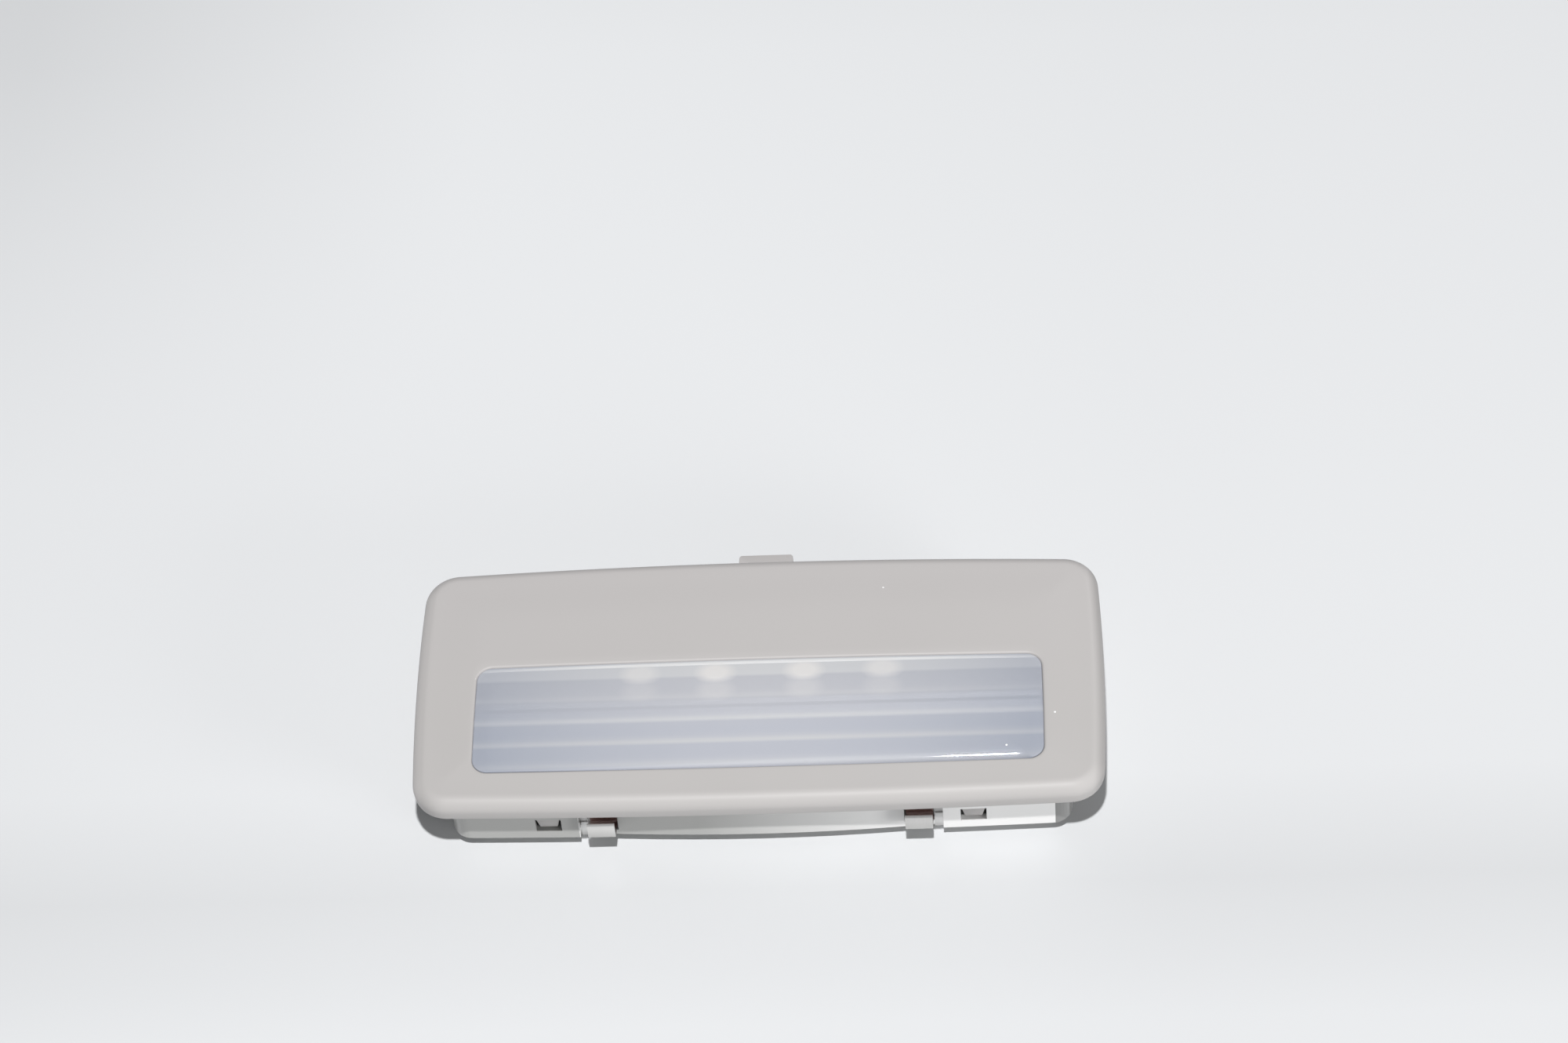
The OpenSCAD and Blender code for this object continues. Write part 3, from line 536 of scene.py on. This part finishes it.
for t in FACE_STEPS:
    heart = np.column_stack([np.clip(face_ring[:, 0], -HEART_X, HEART_X),
                             np.full(len(face_ring), WINDOW_Y), np.full(len(face_ring), LENS_TOP)])
    lens_rings.append(face_ring * (1 - t) + heart * t)
lens_vertices, lens_faces = loft(lens_rings, closed=False)

bm = bmesh.new()
made = [bm.verts.new(tuple(v)) for v in lens_vertices]
for f in lens_faces:
    bm.faces.new([made[i] for i in f])
count = len(lens_rings[0])
bm.faces.new(made[-count:])
rows = []
for j in range(APERTURE_CUTS + 1):
    y = FLUTE_START + j * FLUTE_PITCH / FLUTE_CUTS
    u = 2 * ((j % FLUTE_CUTS) / FLUTE_CUTS) - 1
    z = VALLEY - FLUTE_H * (1 - u * u)
    rows.append([bm.verts.new((x, y, z)) for x in np.linspace(-APERTURE, APERTURE, COLUMNS + 1)])
for a, b in zip(rows, rows[1:]):
    for i in range(COLUMNS):
        bm.faces.new((a[i], b[i], b[i + 1], a[i + 1]))
# Plain walls drop from the fluted face, and the flange closes round them.
rim = rows[0] + [r[-1] for r in rows[1:-1]] + rows[-1][::-1] + [r[0] for r in rows[-2:0:-1]]
floor_rim = [bm.verts.new((v.co.x, v.co.y, Z_FLANGE)) for v in rim]
for i in range(len(rim)):
    j = (i + 1) % len(rim)
    bm.faces.new((rim[i], rim[j], floor_rim[j], floor_rim[i]))
edges = []
for loop in (made[:count], floor_rim):
    for i in range(len(loop)):
        edges.append(bm.edges.get((loop[i], loop[(i + 1) % len(loop)])))
bmesh.ops.triangle_fill(bm, use_beauty=True, use_dissolve=False, edges=edges)
lens_part = lists_of(bm)

# The plastic of the lens: clear glass-like body, etched on its flutes.
GLASS_COLOUR, PLASTIC_IOR = (0.90, 0.905, 0.925, 1), 1.49
ETCH_START, ETCH_END, ETCHED, POLISHED = VALLEY + 0.2, VALLEY + 0.6, 0.24, 0.03
lens_material, tree, out = new_material("clear_lens_plastic")
coords, x, y, z = object_place(tree)
waves = noise(tree, coords, Scale=90.0, Detail=2.0)
waviness = bumps(tree, waves, strength=0.02, distance=0.0001).outputs[0]
glass = add(tree, "BsdfPrincipled")
glass.inputs["Base Color"].default_value = GLASS_COLOUR
glass.inputs["IOR"].default_value = PLASTIC_IOR
glass.inputs["Transmission Weight"].default_value = 1.0
feed(tree, glass, {"Roughness": span(tree, z, ETCH_START * MM, ETCH_END * MM, ETCHED, POLISHED),
                   "Normal": waviness})

# Most of what shows is painted on a milky haze: a painted stripe of light along
# each flute and a brighter painted strip at the back, painted shade towards both
# ends, the painted glow of the four lamps and a painted glint along the back edge.
STRIPE_START = -15.5
STRIPE = ((0.0, 0.0), (0.09, 0.75), (0.14, 1.0), (0.22, 0.75), (0.31, 0.30), (0.45, 0.06), (0.6, 0.0))
STRIPE_FRONT, STRIPE_BACK = (-0.015, -0.013, 0.6, 1.0), (-0.007, -0.0042, 1.0, 0.5)
LAST_STRIP, END_REACH, HAZE_TURN = (0.05, 0.5), 39.0, (-0.003, -0.009)
BACK_HAZE = (0.512, 0.518, 0.555), (0.382, 0.400, 0.452)
FRONT_HAZE = (0.502, 0.518, 0.575), (0.372, 0.398, 0.463)
BRIGHT_HAZE = (0.612, 0.618, 0.634), (0.455, 0.471, 0.517)
GLINT_COLOUR, GLOW_COLOUR = (0.80, 0.80, 0.80), (0.735, 0.720, 0.710)
GLINT_CURVE, GLINT_Y, GLINT_HALF, GLINT_ENDS = 0.208, 2.55, 0.22, (0.022, 0.038, 0.8, 0.25)
LAMP_SPOTS = ((-17.2, 0.6), (-6.2, 1.0), (6.6, 1.0), (18.0, 0.7))
SPOT_ROWS, SPOT_W, SPOT_D, SPOT_FADE = ((0.95, 1.0), (-2.1, 0.3)), 2.9, 1.9, (0.5, 1.15)
LENS_DUST = ((0.03563, -0.01326, 0.0146),)
HAZE_SHARE, HAZE_LOW, HAZE_HIGH = 0.93, LENS_TOP - 1.4, LENS_TOP - 1.2


def near(tree, value, middle, reach):
    """Mask that is 1 where the value is within reach of the middle."""
    node = add(tree, "Math", operation="COMPARE")
    node.inputs[1].default_value = middle
    node.inputs[2].default_value = reach
    tree.links.new(value, node.inputs[0])
    return node.outputs[0]


# Painted light: a pale stripe along each flute and a brighter strip at the back; painted shade towards both
# ends.
phase = maths(tree, "DIVIDE", maths(tree, "SUBTRACT", y, STRIPE_START * MM), FLUTE_PITCH * MM)
stripe = add(tree, "ValToRGB")
tree.links.new(maths(tree, "FRACT", phase), stripe.inputs[0])
stops = stripe.color_ramp.elements
for position, value in STRIPE[1:-1]:
    stops.new(position)
for stop, (position, value) in zip(stops, STRIPE):
    stop.position = position
    stop.color = (value, value, value, 1)
stripe_share = maths(tree, "MULTIPLY", span(tree, y, *STRIPE_BACK), span(tree, y, *STRIPE_FRONT))
light_stripes = maths(tree, "MULTIPLY", stripe.outputs[0], stripe_share)
back_strip_light = span(tree, y, LAST_STRIP[0] * MM, LAST_STRIP[1] * MM)
brighter = maths(tree, "MAXIMUM", light_stripes, back_strip_light)
ends = maths(tree, "MULTIPLY", x, x, 1 / (END_REACH * MM) ** 2)
haze_colour = blend_colours(tree, span(tree, y, *HAZE_TURN), blend_colours(tree, ends, *BACK_HAZE),
                            blend_colours(tree, ends, *FRONT_HAZE))
haze_colour = blend_colours(tree, brighter, haze_colour, blend_colours(tree, ends, *BRIGHT_HAZE))
# Painted glint along the back edge.
back_line = maths(tree, "ADD", y, maths(tree, "MULTIPLY", x, x, GLINT_CURVE))
glint = maths(tree, "MULTIPLY", near(tree, back_line, GLINT_Y * MM, GLINT_HALF * MM),
              span(tree, maths(tree, "ABSOLUTE", x), *GLINT_ENDS))
haze_colour = blend_colours(tree, glint, haze_colour, GLINT_COLOUR)
# Painted glow over the four lamps, which give no light.
glows = []
for spot_x, strength in LAMP_SPOTS:
    for spot_y, share in SPOT_ROWS:
        away = add(tree, "VectorMath", operation="SUBTRACT")
        away.inputs[1].default_value = (spot_x * MM, spot_y * MM, LENS_TOP * MM)
        squash = add(tree, "VectorMath", operation="MULTIPLY")
        squash.inputs[1].default_value = (1 / (SPOT_W * MM), 1 / (SPOT_D * MM), 0)
        reach = add(tree, "VectorMath", operation="LENGTH")
        tree.links.new(coords, away.inputs[0])
        tree.links.new(away.outputs[0], squash.inputs[0])
        tree.links.new(squash.outputs[0], reach.inputs[0])
        glows.append(span(tree, reach.outputs["Value"], *SPOT_FADE, strength * share, 0.0))
haze_colour = blend_colours(tree, maths(tree, "MAXIMUM", *glows), haze_colour, GLOW_COLOUR)
dust = specks(tree, coords, LENS_DUST, DUST_R)
haze_colour = blend_colours(tree, dust, haze_colour, DUST_COLOUR)
haze = add(tree, "BsdfPrincipled", Roughness=POLISHED)
haze.inputs["IOR"].default_value = PLASTIC_IOR
feed(tree, haze, {"Base Color": haze_colour, "Normal": waviness})
in_skin = span(tree, z, HAZE_LOW * MM, HAZE_HIGH * MM, 0.0, HAZE_SHARE)
body = add(tree, "MixShader")
tree.links.new(maths(tree, "MAXIMUM", dust, in_skin), body.inputs[0])
tree.links.new(glass.outputs[0], body.inputs[1])
tree.links.new(haze.outputs[0], body.inputs[2])

# Light from the lamp and from the bowl passes straight through the lens.
THROUGH_COLOUR = (0.88, 0.89, 0.92, 1)
through = add(tree, "BsdfTransparent")
through.inputs["Color"].default_value = THROUGH_COLOUR
ray = add(tree, "LightPath").outputs
mix = add(tree, "MixShader")
tree.links.new(maths(tree, "MAXIMUM", ray["Is Shadow Ray"], ray["Is Diffuse Ray"]), mix.inputs[0])
tree.links.new(body.outputs[0], mix.inputs[1])
tree.links.new(through.outputs[0], mix.inputs[2])
tree.links.new(mix.outputs[0], out.inputs[0])

lens = piece("lens_cover", [lens_part], lens_material, angle=25.0)
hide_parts("lens")
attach(lens, "root")


# Housing: glossy off-white moulding, stepped towards its base, with its moulded
# edges softened in the finish. Its base colour is written as light grey, darker than
# its off-white, as painted shade. Painted light makes it paler towards the right of
# the front wall and in the two slots, and painted shade makes it deeper round the
# right corner, as the photograph shows.
ROUGH_LOW, ROUGH_HIGH = 0.85, 1.15


def plastic(name, colour, spread, roughness, bump_scale, bump_height, edge=0.0):
    """Moulded or coated finish with a slight unevenness, and soft edges where asked."""
    material, tree, out = new_material(name)
    coords = object_place(tree)[0]
    tone = noise(tree, coords, Scale=45.0, Detail=4.0)
    fine = noise(tree, coords, Scale=bump_scale, Detail=2.0)
    bump = bumps(tree, fine, strength=0.5, distance=bump_height)
    if edge:
        soft = add(tree, "Bevel", samples=4, Radius=edge)
        tree.links.new(soft.outputs[0], bump.inputs["Normal"])
    deeper = tuple(c * (1 - spread) for c in colour)
    paler = tuple(min(1, c * (1 + spread)) for c in colour)
    shader = add(tree, "BsdfPrincipled")
    feed(tree, shader, {"Base Color": blend_colours(tree, tone, deeper, paler),
                        "Roughness": span(tree, tone, 0, 1, roughness * ROUGH_LOW,
                                          roughness * ROUGH_HIGH),
                        "Normal": bump.outputs[0]})
    tree.links.new(shader.outputs[0], out.inputs[0])
    return material, shader


def dress(node, material):
    """Give a node of the frame its material and leave its mesh as it is."""
    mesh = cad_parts[node].data
    mesh.materials.clear()
    mesh.materials.append(material)


HOUSING_SHADED_GREY, HOUSING_PAINTED_LIGHT, HOUSING_PAINTED_SHADE = (0.475, 0.475, 0.46), (0.97, 0.965, 0.955), (0.27, 0.27, 0.265)
PALE_START, PALE_FULL, FACE_END, FACE_Y, TURN_Y = -0.009, 0.024, 0.0423, -0.0178, -0.0165
SLOT_X, SLOT_HALF, SLOT_Y = 0.0256, 0.0007, -0.015
housing_material, housing_shader = plastic("white_housing_plastic", HOUSING_SHADED_GREY, spread=0.012,
                                           roughness=0.16, bump_scale=900.0, bump_height=0.000008,
                                           edge=0.00012)
tree = housing_material.node_tree
coords, x, y, z = object_place(tree)
# Painted light on the right of the front wall and in the two slots, painted shade round the right corner.
face = maths(tree, "MULTIPLY", maths(tree, "LESS_THAN", x, FACE_END), maths(tree, "LESS_THAN", y, FACE_Y))
painted_light_face = maths(tree, "MULTIPLY", span(tree, x, PALE_START, PALE_FULL), face)
painted_light_slots = maths(tree, "MULTIPLY", near(tree, maths(tree, "ABSOLUTE", x), SLOT_X, SLOT_HALF),
                  maths(tree, "LESS_THAN", y, SLOT_Y))
turned = maths(tree, "MULTIPLY", maths(tree, "GREATER_THAN", x, FACE_END),
               maths(tree, "LESS_THAN", y, TURN_Y))
base_colour = housing_shader.inputs["Base Color"]
toned = blend_colours(tree, turned, base_colour.links[0].from_socket, HOUSING_PAINTED_SHADE)
toned = blend_colours(tree, maths(tree, "MAXIMUM", painted_light_face, painted_light_slots), toned, HOUSING_PAINTED_LIGHT)
tree.links.new(toned, base_colour)
dress("housing", housing_material)


# Reflector: thin moulded bowl under the lens, smooth and silvery white. It rests in
# the pan of the housing, and the lamps shine into it through its back wall.
reflector_material, _ = plastic("silvery_reflector", (0.62, 0.62, 0.62), spread=0.01,
                                roughness=0.3, bump_scale=700.0, bump_height=0.000004)
dress("reflector", reflector_material)


# Circuit board: glass fibre with green solder resist, copper tracks under it, and
# the small black, tan and grey parts soldered on top.
RESIST_GREEN, RESIST_DEEP, TRACK_GREEN = (0.018, 0.135, 0.060), (0.016, 0.115, 0.052), (0.035, 0.215, 0.100)
board_material, tree, out = new_material("green_board")
coords = object_place(tree)[0]
tracks = add(tree, "TexBrick", Scale=180.0, Color1=(*RESIST_GREEN, 1), Color2=(*RESIST_DEEP, 1),
             Mortar=(*TRACK_GREEN, 1))
tracks.inputs["Mortar Size"].default_value = 0.06
tree.links.new(coords, tracks.inputs["Vector"])
shader = add(tree, "BsdfPrincipled", Roughness=0.28)
feed(tree, shader, {"Base Color": tracks.outputs["Color"],
                    "Normal": bumps(tree, tracks.outputs["Fac"], strength=0.4,
                                    distance=0.00003).outputs[0]})
tree.links.new(shader.outputs[0], out.inputs[0])
dress("circuit_board", board_material)

resistor_material, _ = plastic("black_resistor_coat", (0.03, 0.03, 0.032), spread=0.1,
                               roughness=0.25, bump_scale=2500.0, bump_height=0.00001)
diode_material, _ = plastic("black_moulded_body", (0.035, 0.035, 0.037), spread=0.1,
                            roughness=0.5, bump_scale=4000.0, bump_height=0.00002)
capacitor_material, _ = plastic("tan_fired_body", (0.36, 0.25, 0.15), spread=0.06,
                                roughness=0.45, bump_scale=3000.0, bump_height=0.00001)
suppressor_material, _ = plastic("grey_fired_body", (0.12, 0.12, 0.13), spread=0.06,
                                 roughness=0.45, bump_scale=3000.0, bump_height=0.00001)
for k in (1, 2, 3, 4):
    dress(f"resistor_{k}", resistor_material)
dress("diode", diode_material)
dress("capacitor", capacitor_material)
dress("suppressor", suppressor_material)


# Lamps: four small white packages soldered along the front edge of the board. Each
# looks forwards into the bowl through its own opening.
lamp_material, _ = plastic("white_lamp_body", (0.86, 0.86, 0.84), spread=0.01, roughness=0.3,
                           bump_scale=2500.0, bump_height=0.000005)
for k in (1, 2, 3, 4):
    dress(f"led_{k}", lamp_material)


# Spring clips: strips of bright rolled spring steel, bent to a J. The leg stands in
# the channel behind the front wall, and the leaf springs out of the window with its
# upper end free. Each is a fine sweep along its bend line.
STEEL_DEEP, STEEL_PALE, STEEL_LEFT_LIGHT = (0.65, 0.64, 0.625), (0.75, 0.74, 0.725), (0.82, 0.81, 0.79)
STEEL_FOOT_SHADE, STEEL_CHANNEL_SHADE = (0.60, 0.595, 0.58), (0.50, 0.36, 0.34)
LEFT_X, RIGHT_X, FOOT_Z, LEAF_Z, LEAF_Y, LEG_Y = -0.02, 0.02, 0.0052, 0.0072, -0.0190, -0.0182
STEEL_ROUGH, STREAK_SCALE = (0.40, 0.48), (4000, 500, 500)
steel_material, tree, out = new_material("rolled_spring_steel")
coords, x, y, z = object_place(tree)
stretch = add(tree, "Mapping")
stretch.inputs["Scale"].default_value = STREAK_SCALE
tree.links.new(coords, stretch.inputs["Vector"])
streaks = noise(tree, stretch.outputs[0], Scale=1.0, Detail=3.0)
toned = blend_colours(tree, streaks, STEEL_DEEP, STEEL_PALE)
# Painted light makes the left clip paler; painted shade darkens both clips towards their foot and browns
# the leg in the channel.
toned = blend_colours(tree, span(tree, x, LEFT_X, RIGHT_X), STEEL_LEFT_LIGHT, toned)
toned = blend_colours(tree, span(tree, z, FOOT_Z, LEAF_Z), STEEL_FOOT_SHADE, toned)
toned = blend_colours(tree, span(tree, y, LEAF_Y, LEG_Y), toned, STEEL_CHANNEL_SHADE)
shader = add(tree, "BsdfPrincipled", Metallic=1.0)
feed(tree, shader, {"Base Color": toned, "Roughness": span(tree, streaks, 0, 1, *STEEL_ROUGH),
                    "Normal": bumps(tree, streaks, strength=0.3, distance=0.00001).outputs[0]})
tree.links.new(shader.outputs[0], out.inputs[0])

CLIP_X, CLIP_W, CLIP_T, CLIP_BEND, CLIP_OUT, CLIP_EDGE = 22.8, 3.95, 0.3, 0.45, 2.5, 0.05
CLIP_LIFT, LEG_SHORT, FOOT_OUT, FOOT_RISE = 1.2, 0.1, 0.2, 0.25
LEAF_START, LEAF_STRAIGHT, LEAF_END, LEAF_LEAN, LEAF_TURN = 1.6, 4.3, 4.6, 0.02, 0.2
MID_R, MID_T, PAN_FRONT = 340.0, 0.8, WALL_FRONT + 2.15
WINDOW_LOW, WINDOW_TOP = Z_WALL + 1.1, Z_RIM - 1.4
clip_wall = WALL_FRONT + fall(CLIP_X, MID_R)
clip_leg = (WALL_FRONT + fall(CLIP_X + CLIP_W / 2, MID_R) + MID_T
            + PAN_FRONT + fall(CLIP_X - CLIP_W / 2, front_r)) / 2
clip_out = clip_wall - CLIP_OUT + CLIP_T / 2
clip_low = Z_WALL + CLIP_LIFT + CLIP_T / 2
# The bend line goes down the leg, round the foot and up the leaf to its free end.
clip_path = [(clip_leg, WINDOW_TOP - LEG_SHORT), (clip_leg, clip_low),
             (clip_wall - FOOT_OUT, clip_low + FOOT_RISE), (clip_out, WINDOW_LOW + LEAF_START),
             (clip_out + LEAF_LEAN, WINDOW_LOW + LEAF_STRAIGHT),
             (clip_out + LEAF_TURN, WINDOW_LOW + LEAF_END)]


def strip_group():
    """Geometry group that sweeps a thin strip with rounded edges along a bent path."""
    group = bpy.data.node_groups.new("bent_strip", "GeometryNodeTree")
    sockets = group.interface
    sockets.new_socket("Geometry", in_out="OUTPUT", socket_type="NodeSocketGeometry")
    sockets.new_socket("Path", in_out="INPUT", socket_type="NodeSocketGeometry")
    for name in ("Width", "Thickness", "Bend radius", "Edge radius"):
        sockets.new_socket(name, in_out="INPUT", socket_type="NodeSocketFloat")
    sockets.new_socket("Material", in_out="INPUT", socket_type="NodeSocketMaterial")
    links = group.links
    node = {key: group.nodes.new(kind) for key, kind in (
        ("in", "NodeGroupInput"), ("out", "NodeGroupOutput"), ("curve", "GeometryNodeMeshToCurve"),
        ("bends", "GeometryNodeFilletCurve"), ("section", "GeometryNodeCurvePrimitiveQuadrilateral"),
        ("edges", "GeometryNodeFilletCurve"), ("sweep", "GeometryNodeCurveToMesh"),
        ("stand", "GeometryNodeTransform"), ("whole", "GeometryNodeRealizeInstances"),
        ("paint", "GeometryNodeSetMaterial"))}
    for key, count in (("bends", 8), ("edges", 3)):
        node[key].mode = "POLY"
        node[key].inputs["Count"].default_value = count
    node["sweep"].inputs["Fill Caps"].default_value = True
    node["stand"].inputs["Rotation"].default_value = (math.pi / 2, 0, math.pi / 2)
    links.new(node["in"].outputs["Path"], node["curve"].inputs["Mesh"])
    links.new(node["curve"].outputs[0], node["bends"].inputs["Curve"])
    links.new(node["in"].outputs["Bend radius"], node["bends"].inputs["Radius"])
    links.new(node["in"].outputs["Thickness"], node["section"].inputs["Width"])
    links.new(node["in"].outputs["Width"], node["section"].inputs["Height"])
    links.new(node["section"].outputs[0], node["edges"].inputs["Curve"])
    links.new(node["in"].outputs["Edge radius"], node["edges"].inputs["Radius"])
    links.new(node["bends"].outputs[0], node["sweep"].inputs["Curve"])
    links.new(node["edges"].outputs[0], node["sweep"].inputs["Profile Curve"])
    links.new(node["sweep"].outputs[0], node["stand"].inputs["Geometry"])
    links.new(node["stand"].outputs[0], node["whole"].inputs["Geometry"])
    links.new(node["whole"].outputs[0], node["paint"].inputs["Geometry"])
    links.new(node["in"].outputs["Material"], node["paint"].inputs["Material"])
    links.new(node["paint"].outputs[0], node["out"].inputs[0])
    return group


def swept_strip(name, path, group, values):
    """Plain mesh of a strip: the group is evaluated once and its modifier taken off."""
    mesh = bpy.data.meshes.new(name)
    mesh.from_pydata([(y * MM, z * MM, 0) for y, z in path], [(i, i + 1) for i in range(len(path) - 1)], [])
    obj = bpy.data.objects.new(name, mesh)
    bpy.context.scene.collection.objects.link(obj)
    modifier = obj.modifiers.new("strip", "NODES")
    modifier.node_group = group
    for item in group.interface.items_tree:
        if item.in_out == "INPUT" and item.name in values:
            modifier[item.identifier] = values[item.name]
    depsgraph = bpy.context.evaluated_depsgraph_get()
    plain = bpy.data.meshes.new_from_object(obj.evaluated_get(depsgraph))
    obj.modifiers.remove(modifier)
    obj.data = plain
    return obj


bent_strip = strip_group()
for name, side in (("spring_clip_left", -1), ("spring_clip_right", 1)):
    clip = swept_strip("fine_" + name, clip_path, bent_strip,
                       {"Width": CLIP_W * MM, "Thickness": CLIP_T * MM, "Bend radius": CLIP_BEND * MM,
                        "Edge radius": CLIP_EDGE * MM, "Material": steel_material})
    clip.data.transform(Matrix.Translation((side * CLIP_X * MM, 0, 0)))
    shade(clip, angle_deg=40.0)
    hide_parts(name)
    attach(clip, "root")


# Socket: plain moulding that slides into the back wall, with two tinned pins for
# the plug.
SOCKET_WHITE, TIN = (0.74, 0.74, 0.71), (0.72, 0.70, 0.66)
socket_material, _ = plastic("natural_socket_plastic", SOCKET_WHITE, spread=0.015, roughness=0.4,
                             bump_scale=1500.0, bump_height=0.00001, edge=0.0001)
dress("connector_socket", socket_material)
pin_material, pin_shader = plastic("tinned_pin", TIN, spread=0.03, roughness=0.3,
                                   bump_scale=2000.0, bump_height=0.000005)
pin_shader.inputs["Metallic"].default_value = 1.0
dress("contact_pin_1", pin_material)
dress("contact_pin_2", pin_material)
